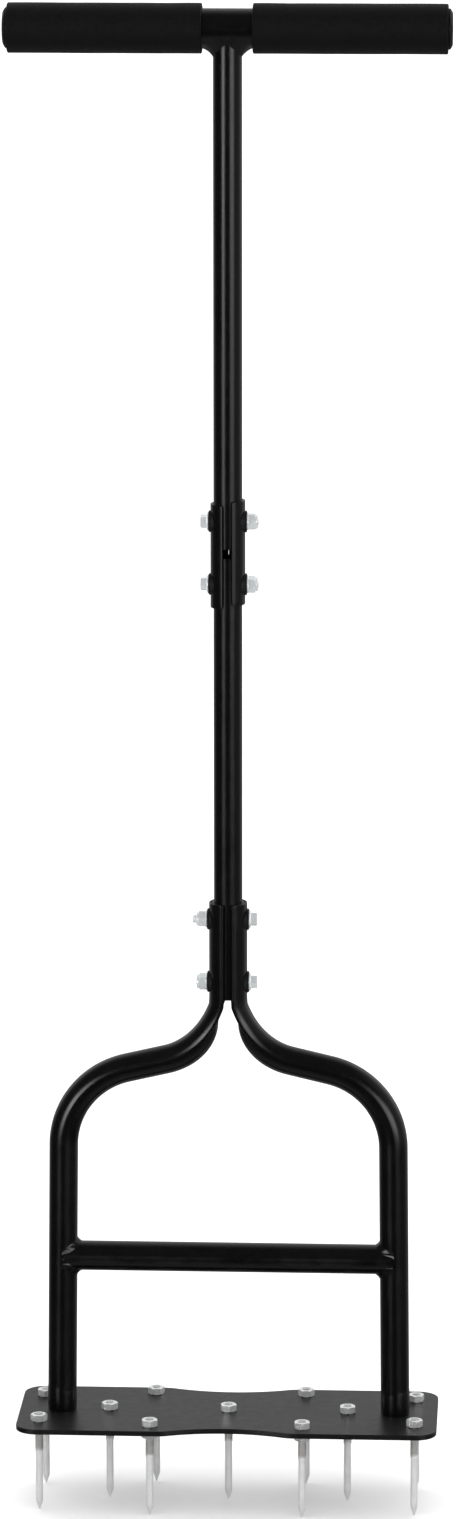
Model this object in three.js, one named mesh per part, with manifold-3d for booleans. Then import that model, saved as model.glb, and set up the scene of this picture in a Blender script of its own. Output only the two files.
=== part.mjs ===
// Lawn aerator fork: a T handle on a two-piece shaft, two bent legs with a foot bar between
// them, and a base plate that carries eleven spikes. Millimetres, +Z up. The origin is on the
// shaft's axis at the height of the spike tips; +X runs along the handle, -Y is the front.
import * as THREE from 'three';
import { mergeVertices } from 'three/addons/utils/BufferGeometryUtils.js';
import Module from 'manifold-3d';

const wasm = await Module();
wasm.setup();

// Clearance between pieces that touch, and sides of the round shapes
const GAP = 0.3;
const TUBE_SIDES = 24;
const LEG_SIDES = 24;
const BORE_SIDES = 16;
const PIN_SIDES = 12;
const CUT_SIDES = 48; // of the shapes that hollow out others
const ARC_STEPS = 6;
const NECK_STEPS = 10;
const SHOULDER_STEPS = 9;
const LEG_BORE_STEPS = 7;

// Handle
const HANDLE_Z = 999.3;
const HANDLE_R = 13;
const HANDLE_WALL = 1.5;
const HANDLE_END = 143.3;
const GRIP_R = 16.45;
const GRIP_START = 16.6;
const GRIP_ROUND = 0.8;
const CAP_R = 13.3;
const CAP_HEIGHT = 2.6;
const CAP_PLUG = 15;
// The cap's dome, as shares of its radius and height
const CAP_DOME = [[1, 0.4], [0.93, 0.75], [0.75, 1]];

// Shaft tubes, butted with a small space at the splice
const SHAFT_R = 9.5;
const SHAFT_WALL = 1.2;
const SHAFT_BOTTOM = 352.2;
const SPLICE_Z = 654.8;
const SPLICE_SPACE = 6;

// Splice plates: open at the front, almost closed at the rear
const SPLICE_WALL = 1.8;
const SPLICE_LENGTH = 69.6;
const SPLICE_PLATES_Z = 654;
const SPLICE_FRONT_ANGLE = THREE.MathUtils.degToRad(75);
const SPLICE_REAR_ANGLE = THREE.MathUtils.degToRad(89.5);
const SPLICE_SKEW = 1.1; // the right plate sits this much high, the left one this much low

// Bolted joints
const MID_BOLTS_Z = [675.5, 633.5];
const LOW_BOLTS_Z = [406.2, 363.2];
const MID_BOLT_REACHES = [20.3, 20.3];
const LOW_BOLT_REACHES = [23.5, 21.3];
const MID_TURNS = [0.2, 0.5];
const LOW_TURNS = [0.1, 0.4];
const BOLT_R = 2.9;
const BOLT_CHAMFER = 0.6;
const BOLT_HOLE_R = 3.3;
const HEAD_FLATS = 8;
const HEAD_HEIGHT = 4.2;
const FLANGE_R = 6.2;
const FLANGE_HEIGHT = 1.1;
const FLANGE_TAPER = 0.5;
const LOCKNUT_FLATS = 10;
const LOCKNUT_HEIGHT = 5.7;
const LOCKNUT_FLANGE_R = 5.8;
const COLLAR_R = 4.6;
const COLLAR_HEIGHT = 1.2;
const COLLAR_CHAMFER = 0.6;
const WASHER_R = 7.2;
const WASHER_CREST = 0.8;
const CUT_LENGTH = 60; // of the rods that drill and hollow, longer than any part they cross

// Legs: a crescent around the shaft, a bend outward, a sloping run, a bend down, a straight foot
const LEG_R = 9.7;
const LEG_WALL = 1.2;
const LEG_TOP = 418;
const LEG_FOOT_X = 113.3;
const CRESCENT_R = 12.9;
const CRESCENT_HALF_ANGLE = THREE.MathUtils.degToRad(78);
const NECK_OFFSET = 7;
const NECK_BEND_R = 45;
const NECK_MORPH_START = 5; // along the bend, just below the shaft's end
const NECK_MORPH = 55;
const NECK_MORPH_POWER = 3;
const RUN_ANGLE = THREE.MathUtils.degToRad(76.8); // from straight down
const SHOULDER_BEND_R = 55.4;
const SHOULDER_Z = 248.8;
const FOOT_SLOPE = 0.0112;

// Weld beads: how far one reaches along and beside the cylinder it lies on, and how far down
// the tube; [radius beyond the tube, height] pairs at the feet
const HANDLE_BEAD = { along: 6, side: 0.6, drop: 5.5, sideDrop: 0.8 };
const BAR_BEAD = { along: 3, side: 0.6, drop: 3, sideDrop: 1.2 };
const BEAD_WAIST = [0.35, 0.5];
const BEAD_TOE = 0.5;
const BEAD_LIFT = 0.1;
const FOOT_BEAD = [[0, 0], [0.5, 0], [0.9, 2.5], [0.8, 10], [0.3, 15], [0, 15], [0, 0]];

// Foot bar
const BAR_R = 10;
const BAR_WALL = 1.2;
const BAR_Z = 171.3;

// Base plate
const PLATE_TOP = 63;
const PLATE_THICKNESS = 3.5;
const PLATE_HALF_WIDTH = 142;
const PLATE_HALF_DEPTH = 49;
const PLATE_CORNER_R = 14;
const WAIST_DEPTH = 8;
const WAIST_R = 115;
const WAIST_BLEND_R = 20;

// Spikes, with a nut above the plate and a collar nut below it
const SPIKE_TIP_R = 0.5;
const SPIKE_TIP_LENGTH = 6.2;
const SPIKE_R = 2.4;
const SPIKE_THREAD_START = 41.6;
const SPIKE_THREAD_R = 2.9;
const SPIKE_CHAMFER = 0.5;
const SPIKE_NUT_FLATS = 10;
const SPIKE_NUT_HEIGHT = 4.7;
const SPIKE_TOP = 68.2;
const SPIKE_HOLE_R = 3.3;
const SPIKE_OUTER = [127, 28];
const SPIKE_INNER = [51.5, 36];
const SPIKE_MIDDLE = 81;
const SPIKE_TURN = 0.37; // from one spike to the next
const NUT_TURN = 0.85;

const BLACK = 0x0c0b0c;

function steelBlack() {
  return new THREE.MeshStandardMaterial({ color: BLACK, roughness: 0.38, metalness: 0 });
}

function foam() {
  return new THREE.MeshStandardMaterial({ color: 0x151315, roughness: 0.85, metalness: 0 });
}

function plastic() {
  return new THREE.MeshStandardMaterial({ color: BLACK, roughness: 0.55, metalness: 0 });
}

function zinc() {
  return new THREE.MeshStandardMaterial({ color: 0xd6d8da, roughness: 0.3, metalness: 1 });
}

// ---- solids: closed geometry in and out of the boolean library ----

function solid(geometry) {
  const bare = geometry.clone();
  bare.deleteAttribute('normal');
  bare.deleteAttribute('uv');
  const merged = mergeVertices(bare, 1e-4);
  const mesh = new wasm.Mesh({
    numProp: 3,
    vertProperties: new Float32Array(merged.attributes.position.array),
    triVerts: new Uint32Array(merged.index.array),
  });
  return new wasm.Manifold(mesh);
}

function surface(manifold) {
  const mesh = manifold.getMesh();
  const geometry = new THREE.BufferGeometry();
  geometry.setAttribute('position', new THREE.BufferAttribute(mesh.vertProperties, 3));
  geometry.setIndex(new THREE.BufferAttribute(mesh.triVerts, 1));
  geometry.computeVertexNormals();
  return geometry;
}

function points(pairs) {
  return pairs.map(([r, z]) => new THREE.Vector2(r, z));
}

// A profile of [radius, height] pairs turned around Z
function turned(pairs, sides = TUBE_SIDES) {
  return new THREE.LatheGeometry(points(pairs), sides).rotateX(Math.PI / 2);
}

function turnedTube(outer, inner, low, high, sides = TUBE_SIDES) {
  return turned([[inner, low], [outer, low], [outer, high], [inner, high], [inner, low]], sides);
}

function alongX(geometry) {
  return geometry.rotateY(Math.PI / 2);
}

// A solid rod along X, for holes and copes
function rodAlongX(radius, z, sides = PIN_SIDES) {
  const rod = new THREE.CylinderGeometry(radius, radius, CUT_LENGTH, sides).rotateZ(Math.PI / 2);
  return solid(rod.translate(0, 0, z));
}

function hexShape(flats) {
  const shape = new THREE.Shape();
  for (let i = 0; i < 6; i += 1) {
    const angle = (i * Math.PI) / 3;
    const corner = flats / Math.sqrt(3);
    const [x, y] = [corner * Math.cos(angle), corner * Math.sin(angle)];
    if (i === 0) shape.moveTo(x, y);
    else shape.lineTo(x, y);
  }
  shape.closePath();
  return shape;
}

function hexPrism(flats, height, holeR = 0) {
  const shape = hexShape(flats);
  if (holeR > 0) shape.holes.push(new THREE.Path().absarc(0, 0, holeR, 0, Math.PI * 2, true));
  const settings = { depth: height, bevelEnabled: false, curveSegments: PIN_SIDES / 2 };
  return new THREE.ExtrudeGeometry(shape, settings);
}

// A closed skin through rings of equal length, capped at both ends
function loft(rings) {
  const sides = rings[0].length;
  const positions = rings.flat().flatMap((p) => [p.x, p.y, p.z]);
  const index = [];
  for (let i = 0; i + 1 < rings.length; i += 1) {
    for (let j = 0; j < sides; j += 1) {
      const a = i * sides + j;
      const b = i * sides + ((j + 1) % sides);
      index.push(a, b + sides, b, a, a + sides, b + sides);
    }
  }
  // A cap is a ladder between the ring's two halves, which suits round and crescent ends alike
  const last = (rings.length - 1) * sides;
  for (let j = 0; j + 1 < sides / 2; j += 1) {
    const [a, b, c, d] = [j, j + 1, sides - 2 - j, sides - 1 - j];
    index.push(a, b, c, a, c, d);
    index.push(last + a, last + c, last + b, last + a, last + d, last + c);
  }
  const geometry = new THREE.BufferGeometry();
  geometry.setAttribute('position', new THREE.Float32BufferAttribute(positions, 3));
  geometry.setIndex(index);
  return geometry;
}

// A ring-shaped bead: one closed section for each angle around it
function bead(section, sides = TUBE_SIDES) {
  const rings = [];
  for (let i = 0; i < sides; i += 1) rings.push(section((i / sides) * Math.PI * 2));
  const count = rings[0].length;
  const index = [];
  for (let i = 0; i < sides; i += 1) {
    for (let j = 0; j < count; j += 1) {
      const next = (i + 1) % sides;
      const a = i * count + j;
      const b = i * count + ((j + 1) % count);
      const c = next * count + j;
      const d = next * count + ((j + 1) % count);
      index.push(a, c, d, a, d, b);
    }
  }
  const geometry = new THREE.BufferGeometry();
  const flat = rings.flat().flatMap((p) => [p.x, p.y, p.z]);
  geometry.setAttribute('position', new THREE.Float32BufferAttribute(flat, 3));
  geometry.setIndex(index);
  return geometry;
}

// ---- the object ----

const fork = new THREE.Group();

function add(name, geometry, material, place) {
  const mesh = new THREE.Mesh(geometry, material);
  mesh.name = name;
  if (place) place(mesh);
  fork.add(mesh);
  return mesh;
}

const SIDES_LR = [['left', -1], ['right', 1]];

function mirrored(mesh, side) {
  if (side < 0) mesh.rotation.z = Math.PI;
}

// ---- handle ----

function makeHandle() {
  const tube = turnedTube(HANDLE_R, HANDLE_R - HANDLE_WALL, -HANDLE_END, HANDLE_END);
  add('handle_crossbar', alongX(tube), steelBlack(), (mesh) => mesh.position.setZ(HANDLE_Z));

  const bore = HANDLE_R + GAP;
  const grip = alongX(turned([
    [bore, GRIP_START],
    [GRIP_R - GRIP_ROUND, GRIP_START],
    [GRIP_R, GRIP_START + GRIP_ROUND],
    [GRIP_R, HANDLE_END - GRIP_ROUND],
    [GRIP_R - GRIP_ROUND, HANDLE_END],
    [bore, HANDLE_END],
    [bore, GRIP_START],
  ]));

  const plugR = HANDLE_R - HANDLE_WALL - GAP;
  const seat = HANDLE_END + GAP;
  const cap = alongX(turned([
    [0, HANDLE_END - CAP_PLUG],
    [plugR, HANDLE_END - CAP_PLUG],
    [plugR, seat],
    [CAP_R, seat],
    ...CAP_DOME.map(([wide, high]) => [CAP_R * wide, seat + CAP_HEIGHT * high]),
    [0, seat + CAP_HEIGHT],
  ]));

  for (const [side, sign] of SIDES_LR) {
    const place = (mesh) => {
      mesh.position.setZ(HANDLE_Z);
      mirrored(mesh, sign);
    };
    add(`grip_${side}`, grip, foam(), place);
    add(`end_cap_${side}`, cap, plastic(), place);
  }
}

// ---- shafts ----

function drill(body, heights) {
  let result = body;
  for (const z of heights) result = result.subtract(rodAlongX(BOLT_HOLE_R, z));
  return result;
}

function makeShafts() {
  const inner = SHAFT_R - SHAFT_WALL;
  const upperEnd = SPLICE_Z + SPLICE_SPACE / 2;
  const upper = solid(turnedTube(SHAFT_R, inner, upperEnd, HANDLE_Z));
  const coped = upper.subtract(rodAlongX(HANDLE_R + GAP, HANDLE_Z, CUT_SIDES));
  add('upper_shaft', surface(drill(coped, [MID_BOLTS_Z[0]])), steelBlack());

  const lowerEnd = SPLICE_Z - SPLICE_SPACE / 2;
  const lower = solid(turnedTube(SHAFT_R, inner, SHAFT_BOTTOM, lowerEnd));
  const drilled = drill(lower, [MID_BOLTS_Z[1], ...LOW_BOLTS_Z]);
  add('lower_shaft', surface(drilled), steelBlack());
}

// A weld bead around a tube where it meets a crosswise cylinder. The tube runs along Z and ends
// at the cylinder, whose axis is along X at height 0; the bead hangs below it, fullest where the
// two run into each other at a right angle and almost flush where the cylinder rounds the tube.
function crosswiseBead(tubeR, otherR, { along, side, drop, sideDrop }) {
  const inner = tubeR + GAP;
  const hull = otherR + GAP;
  const height = (y) => -Math.sqrt(Math.max(hull * hull - y * y, 0));
  return bead((angle) => {
    const [c, s] = [Math.cos(angle), Math.sin(angle)];
    const spread = THREE.MathUtils.lerp(side, along, Math.abs(c));
    const hang = THREE.MathUtils.lerp(sideDrop, drop, Math.abs(c));
    const at = (r, z) => new THREE.Vector3(r * c, r * s, z);
    const top = height(inner * s);
    const section = [
      at(inner, top - hang),
      at(inner + spread * BEAD_WAIST[0], top - hang * BEAD_WAIST[1]),
      at(inner + spread, height((inner + spread) * s) - BEAD_TOE),
    ];
    for (const part of [1, 0.5, 0]) {
      const r = inner + spread * part;
      section.push(at(r, height(r * s) - BEAD_LIFT));
    }
    return section;
  });
}

function makeHandleWeld() {
  const weld = crosswiseBead(SHAFT_R, HANDLE_R, HANDLE_BEAD);
  add('handle_weld', weld, steelBlack(), (mesh) => mesh.position.setZ(HANDLE_Z));
}

// ---- splice and joint hardware ----

function makeSplices() {
  const inner = SHAFT_R + GAP;
  const outer = inner + SPLICE_WALL;
  const settings = { depth: SPLICE_LENGTH, bevelEnabled: false, curveSegments: ARC_STEPS };
  for (const [side, sign] of SIDES_LR) {
    // the left plate is drawn on the right and then turned half round, front to rear
    const from = sign > 0 ? -SPLICE_FRONT_ANGLE : -SPLICE_REAR_ANGLE;
    const to = sign > 0 ? SPLICE_REAR_ANGLE : SPLICE_FRONT_ANGLE;
    const shape = new THREE.Shape();
    shape.absarc(0, 0, outer, from, to, false);
    shape.absarc(0, 0, inner, to, from, true);
    shape.closePath();
    const low = SPLICE_PLATES_Z - SPLICE_LENGTH / 2 + sign * SPLICE_SKEW;
    const plate = solid(new THREE.ExtrudeGeometry(shape, settings).translate(0, 0, low));
    const turn = (mesh) => mirrored(mesh, sign);
    add(`splice_plate_${side}`, surface(drill(plate, MID_BOLTS_Z)), steelBlack(), turn);
  }
}

// A washer that is flat outside and hollowed to sit on a tube of the given radius, facing +X
function saddleWasher(tubeR) {
  const face = tubeR + GAP + WASHER_CREST;
  const depth = face - Math.sqrt(tubeR * tubeR - WASHER_R * WASHER_R) + GAP;
  const disc = alongX(turned([
    [0, face - depth],
    [WASHER_R, face - depth],
    [WASHER_R, face],
    [0, face],
  ], BORE_SIDES));
  const tube = new THREE.CylinderGeometry(tubeR + GAP, tubeR + GAP, CUT_LENGTH, CUT_SIDES);
  const hollow = solid(tube.rotateX(Math.PI / 2));
  return surface(solid(disc).subtract(hollow).subtract(rodAlongX(BOLT_HOLE_R, 0)));
}

// A flange bolt along X: its head outside +X at the washer's face, its end at -reach
function flangeBolt(face, reach) {
  const seat = face + GAP;
  const shank = alongX(turned([
    [0, -reach],
    [BOLT_R - BOLT_CHAMFER, -reach],
    [BOLT_R, BOLT_CHAMFER - reach],
    [BOLT_R, seat],
    [FLANGE_R, seat],
    [FLANGE_R - FLANGE_TAPER, seat + FLANGE_HEIGHT],
    [0, seat + FLANGE_HEIGHT],
  ], PIN_SIDES));
  const head = alongX(hexPrism(HEAD_FLATS, HEAD_HEIGHT + FLANGE_HEIGHT / 2));
  head.translate(seat + FLANGE_HEIGHT / 2, 0, 0);
  return surface(solid(shank).add(solid(head)));
}

// A flange lock nut along X, with the collar of its insert outside
function lockNut(face) {
  const seat = face + GAP;
  const bore = BOLT_R + GAP;
  const top = seat + FLANGE_HEIGHT + LOCKNUT_HEIGHT;
  const round = alongX(turned([
    [bore, seat],
    [LOCKNUT_FLANGE_R, seat],
    [LOCKNUT_FLANGE_R, seat + FLANGE_HEIGHT],
    [COLLAR_R, seat + FLANGE_HEIGHT],
    [COLLAR_R, top - COLLAR_CHAMFER],
    [COLLAR_R - COLLAR_CHAMFER, top],
    [bore, top],
    [bore, seat],
  ], PIN_SIDES));
  const hex = alongX(hexPrism(LOCKNUT_FLATS, LOCKNUT_HEIGHT - COLLAR_HEIGHT, bore));
  hex.translate(seat + FLANGE_HEIGHT / 2, 0, 0);
  return surface(solid(round).add(solid(hex)));
}

// A bolted joint across a tube, with the bolt heads on the side that has the sign of `heads`
function makeJoint(name, tubeR, heads, rows, reaches, turns) {
  const face = tubeR + GAP + WASHER_CREST;
  const washer = saddleWasher(tubeR);
  const nut = lockNut(face);
  ['upper', 'lower'].forEach((row, i) => {
    const place = (sign, twist = 0) => (mesh) => {
      mesh.rotation.order = 'ZXY';
      mirrored(mesh, sign);
      mesh.rotation.x = twist;
      mesh.position.setZ(rows[i]);
    };
    const label = `${name}_${row}`;
    add(`${label}_bolt`, flangeBolt(face, reaches[i]), zinc(), place(heads, turns[i]));
    add(`${label}_nut`, nut, zinc(), place(-heads, turns[i] * 2));
    for (const [side, sign] of SIDES_LR) {
      add(`${label}_washer_${side}`, washer, plastic(), place(sign));
    }
  });
}

function makeJoints() {
  const splicedR = SHAFT_R + GAP + SPLICE_WALL;
  makeJoint('mid_joint', splicedR, -1, MID_BOLTS_Z, MID_BOLT_REACHES, MID_TURNS);
  makeJoint('low_joint', CRESCENT_R, 1, LOW_BOLTS_Z, LOW_BOLT_REACHES, LOW_TURNS);
}

// ---- legs ----

// The leg's centre line from the crescent's top to the foot, in the plane y = 0, as stations
// with a position, the direction that points away from the shaft side, and how far the section
// has changed from round (0) to crescent (1)
const RUN_DROP = Math.tan(Math.PI / 2 - RUN_ANGLE);
const SHOULDER_X = LEG_FOOT_X - FOOT_SLOPE * (SHOULDER_Z - PLATE_TOP) - SHOULDER_BEND_R;
const NECK_X = NECK_OFFSET + NECK_BEND_R;
const RUN_Z_AT_NECK = SHOULDER_Z + SHOULDER_BEND_R / Math.sin(RUN_ANGLE)
  + (SHOULDER_X - NECK_X) * RUN_DROP;
const NECK_Z = RUN_Z_AT_NECK + NECK_BEND_R / Math.sin(RUN_ANGLE);

function station(x, z, angle, crescent) {
  return { x, z, out: [Math.cos(angle), Math.sin(angle)], crescent };
}

function neckStations(steps) {
  const list = [station(NECK_OFFSET, LEG_TOP, 0, 1), station(NECK_OFFSET, NECK_Z, 0, 1)];
  const start = NECK_MORPH_START / NECK_BEND_R;
  for (let i = 0; i <= steps; i += 1) {
    const angle = THREE.MathUtils.lerp(start, RUN_ANGLE, i / steps);
    const travelled = Math.min(((angle - start) * NECK_BEND_R) / NECK_MORPH, 1);
    const x = NECK_X - NECK_BEND_R * Math.cos(angle);
    const z = NECK_Z - NECK_BEND_R * Math.sin(angle);
    list.push(station(x, z, angle, (1 - travelled) ** NECK_MORPH_POWER));
  }
  return list;
}

function shoulderStations(steps, foot) {
  const list = [];
  for (let i = 0; i <= steps; i += 1) {
    const angle = RUN_ANGLE + (i / steps) * (FOOT_SLOPE - RUN_ANGLE);
    const x = SHOULDER_X + SHOULDER_BEND_R * Math.cos(angle);
    const z = SHOULDER_Z + SHOULDER_BEND_R * Math.sin(angle);
    list.push(station(x, z, angle, 0));
  }
  const end = list[list.length - 1];
  list.push(station(end.x + (end.z - foot) * FOOT_SLOPE, foot, 0, 0));
  return list;
}

// The section at a station: the half that faces away from the shaft, then the half towards it
function legRing({ x, z, out, crescent }, radius, sides) {
  const ring = [];
  const half = sides / 2;
  const innerR = SHAFT_R + GAP;
  for (let i = 0; i < sides; i += 1) {
    const outside = i < half;
    const t = outside ? i / (half - 1) : (i - half) / (half - 1);
    const turn = outside ? t - 0.5 : 0.5 - t;
    // the round section's own angle keeps both halves' end points apart
    const round = outside ? turn * (Math.PI - (2 * Math.PI) / sides)
      : Math.PI - turn * (Math.PI - (2 * Math.PI) / sides);
    const bent = turn * 2 * CRESCENT_HALF_ANGLE;
    const bentR = outside ? CRESCENT_R : innerR;
    const n = THREE.MathUtils.lerp(radius * Math.cos(round), bentR * Math.cos(bent) - NECK_OFFSET,
      crescent);
    const b = THREE.MathUtils.lerp(radius * Math.sin(round), bentR * Math.sin(bent), crescent);
    ring.push(new THREE.Vector3(x + n * out[0], b, z + n * out[1]));
  }
  return ring;
}

function makeLegs() {
  const foot = PLATE_TOP + GAP;
  const outline = [...neckStations(NECK_STEPS), ...shoulderStations(SHOULDER_STEPS, foot)];
  const skin = solid(loft(outline.map((s) => legRing(s, LEG_R, LEG_SIDES))));
  const hollow = shoulderStations(LEG_BORE_STEPS, foot - 1);
  const bore = solid(loft(hollow.map((s) => legRing(s, LEG_R - LEG_WALL, BORE_SIDES))));
  const leg = drill(skin.subtract(bore), LOW_BOLTS_Z);
  for (const [side, sign] of SIDES_LR) {
    add(`leg_${side}`, surface(leg), steelBlack(), (mesh) => mirrored(mesh, sign));
  }
}

function legAxisX(z) {
  return LEG_FOOT_X - FOOT_SLOPE * (z - PLATE_TOP);
}

function makeFootWelds() {
  const r = LEG_R + GAP;
  const z = PLATE_TOP + GAP;
  const weld = turned(FOOT_BEAD.map(([out, up]) => [r + out, z + up]));
  for (const [side, sign] of SIDES_LR) {
    add(`foot_weld_${side}`, weld, steelBlack(), (mesh) => {
      mesh.rotation.order = 'ZYX';
      mirrored(mesh, sign);
      mesh.position.setX(sign * legAxisX(z));
    });
  }
}

// ---- foot bar ----

function makeFootBar() {
  const legX = legAxisX(BAR_Z);
  const bar = solid(alongX(turnedTube(BAR_R, BAR_R - BAR_WALL, -legX, legX)));
  let coped = bar.translate([0, 0, BAR_Z]);
  for (const [, sign] of SIDES_LR) {
    const clear = LEG_R + GAP;
    const leg = new THREE.CylinderGeometry(clear, clear, CUT_LENGTH, CUT_SIDES);
    leg.rotateX(Math.PI / 2).rotateY(-sign * FOOT_SLOPE).translate(sign * legX, 0, BAR_Z);
    coped = coped.subtract(solid(leg));
  }
  add('foot_bar', surface(coped), steelBlack());

  const weld = crosswiseBead(BAR_R, LEG_R, BAR_BEAD);
  weld.rotateY(Math.PI / 2);
  for (const [side, sign] of SIDES_LR) {
    add(`foot_bar_weld_${side}`, weld, steelBlack(), (mesh) => {
      mesh.rotation.order = 'ZYX';
      mirrored(mesh, sign);
      mesh.position.set(sign * legX, 0, BAR_Z);
    });
  }
}

// ---- base plate ----

// The outline runs counter-clockwise; the waists are arcs with their centres outside the plate
function plateOutline() {
  const [w, d, c] = [PLATE_HALF_WIDTH, PLATE_HALF_DEPTH, PLATE_CORNER_R];
  const waistY = d - WAIST_DEPTH + WAIST_R;
  const blendY = d - WAIST_BLEND_R;
  const reach = WAIST_R + WAIST_BLEND_R;
  const blendX = Math.sqrt(reach ** 2 - (waistY - blendY) ** 2);
  const swing = Math.atan2(blendX, waistY - blendY);
  const quarter = Math.PI / 2;
  const shape = new THREE.Shape();
  shape.absarc(-blendX, -blendY, WAIST_BLEND_R, -quarter, -quarter + swing, false);
  shape.absarc(0, -waistY, WAIST_R, quarter + swing, quarter - swing, true);
  shape.absarc(blendX, -blendY, WAIST_BLEND_R, -quarter - swing, -quarter, false);
  shape.absarc(w - c, -d + c, c, -quarter, 0, false);
  shape.absarc(w - c, d - c, c, 0, quarter, false);
  shape.absarc(blendX, blendY, WAIST_BLEND_R, quarter, quarter + swing, false);
  shape.absarc(0, waistY, WAIST_R, -quarter + swing, -quarter - swing, true);
  shape.absarc(-blendX, blendY, WAIST_BLEND_R, quarter - swing, quarter, false);
  shape.absarc(-w + c, d - c, c, quarter, 2 * quarter, false);
  shape.absarc(-w + c, -d + c, c, 2 * quarter, 3 * quarter, false);
  shape.closePath();
  return shape;
}

// Spike places: the four corners, the four inner ones and the middle row
function spikePlaces() {
  const list = [];
  for (const [yName, ySign] of [['front', -1], ['rear', 1]]) {
    for (const [xName, xSign] of SIDES_LR) {
      const [[ox, oy], [ix, iy]] = [SPIKE_OUTER, SPIKE_INNER];
      list.push({ label: `${yName}_outer_${xName}`, x: xSign * ox, y: ySign * oy });
      list.push({ label: `${yName}_inner_${xName}`, x: xSign * ix, y: ySign * iy });
    }
  }
  list.push({ label: 'middle_left', x: -SPIKE_MIDDLE, y: 0 });
  list.push({ label: 'middle', x: 0, y: 0 });
  list.push({ label: 'middle_right', x: SPIKE_MIDDLE, y: 0 });
  return list;
}

function makePlate() {
  const shape = plateOutline();
  for (const { x, y } of spikePlaces()) {
    shape.holes.push(new THREE.Path().absarc(x, y, SPIKE_HOLE_R, 0, Math.PI * 2, true));
  }
  const settings = { depth: PLATE_THICKNESS, bevelEnabled: false, curveSegments: ARC_STEPS };
  const plate = new THREE.ExtrudeGeometry(shape, settings);
  add('base_plate', plate, steelBlack(), (mesh) => {
    mesh.position.setZ(PLATE_TOP - PLATE_THICKNESS);
  });
}

// ---- spikes ----

function spikeWithCollar() {
  const rod = turned([
    [0, 0],
    [SPIKE_TIP_R, 0],
    [SPIKE_R, SPIKE_TIP_LENGTH],
    [SPIKE_R, SPIKE_THREAD_START - SPIKE_CHAMFER],
    [SPIKE_THREAD_R, SPIKE_THREAD_START],
    [SPIKE_THREAD_R, SPIKE_TOP - SPIKE_CHAMFER],
    [SPIKE_THREAD_R - SPIKE_CHAMFER, SPIKE_TOP],
    [0, SPIKE_TOP],
  ], PIN_SIDES);
  const collarTop = PLATE_TOP - PLATE_THICKNESS - GAP;
  const collar = hexPrism(SPIKE_NUT_FLATS, SPIKE_NUT_HEIGHT);
  collar.translate(0, 0, collarTop - SPIKE_NUT_HEIGHT);
  return surface(solid(rod).add(solid(collar)));
}

function makeSpikes() {
  const spike = spikeWithCollar();
  const nut = hexPrism(SPIKE_NUT_FLATS, SPIKE_NUT_HEIGHT, SPIKE_THREAD_R + GAP);
  nut.translate(0, 0, PLATE_TOP + GAP);
  spikePlaces().forEach(({ label, x, y }, i) => {
    add(`spike_${label}`, spike, zinc(), (mesh) => {
      mesh.position.set(x, y, 0);
      mesh.rotation.z = i * SPIKE_TURN;
    });
    add(`nut_${label}`, nut, zinc(), (mesh) => {
      mesh.position.set(x, y, 0);
      mesh.rotation.z = i * NUT_TURN;
    });
  });
}

makeHandle();
makeShafts();
makeHandleWeld();
makeSplices();
makeJoints();
makeLegs();
makeFootWelds();
makeFootBar();
makePlate();
makeSpikes();

export default fork;
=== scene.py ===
import math

import bpy
from mathutils import Matrix, Vector, noise
from mathutils.geometry import tessellate_polygon


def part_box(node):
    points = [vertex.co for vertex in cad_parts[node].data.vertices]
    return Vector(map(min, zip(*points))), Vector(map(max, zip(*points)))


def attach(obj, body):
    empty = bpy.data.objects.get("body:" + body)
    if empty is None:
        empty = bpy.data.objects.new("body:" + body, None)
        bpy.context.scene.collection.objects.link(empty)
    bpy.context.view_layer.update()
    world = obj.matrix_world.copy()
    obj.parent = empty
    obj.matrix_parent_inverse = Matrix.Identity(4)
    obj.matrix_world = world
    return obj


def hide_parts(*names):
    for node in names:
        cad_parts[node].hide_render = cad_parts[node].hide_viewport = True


# Lawn aerator fork: the looks of each piece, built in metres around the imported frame.
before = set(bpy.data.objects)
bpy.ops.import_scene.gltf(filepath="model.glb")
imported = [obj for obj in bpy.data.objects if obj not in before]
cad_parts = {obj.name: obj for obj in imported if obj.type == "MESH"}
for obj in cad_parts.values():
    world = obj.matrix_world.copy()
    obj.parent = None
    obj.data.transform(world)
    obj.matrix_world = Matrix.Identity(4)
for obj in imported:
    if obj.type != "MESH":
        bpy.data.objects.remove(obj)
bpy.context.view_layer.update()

MM = 0.001
SIDES_LR = (("left", -1), ("right", 1))
HALF_TURN = Matrix.Rotation(math.pi, 4, "Z")
ALONG_X = Matrix.Rotation(math.pi / 2, 4, "Y")

# Sides of the round shapes
TUBE_SIDES = 96
GRIP_SIDES = 160
BOLT_SIDES = 72
SPIKE_SIDES = 36

# Walls and edges that the frame's boxes don't give
TUBE_WALL = 1.2 * MM
HANDLE_WALL = 1.5 * MM
RIM_ROUND = 0.3 * MM
GRIP_ROUND = 0.9 * MM
FOAM_SWELL = 0.16 * MM
CAP_PLUG = 15 * MM
CAP_DIMPLE = 0.5 * MM
SPLICE_WALL = 1.8 * MM
SPLICE_FRONT_ANGLE = math.radians(75)
SPLICE_REAR_ANGLE = math.radians(89.5)
SPLICE_CORNER = 2.2 * MM
SPLICE_EDGE = 0.45 * MM

# Turned pieces close on a ring this close to their axis
AXIS_R = 0.1 * MM

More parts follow.
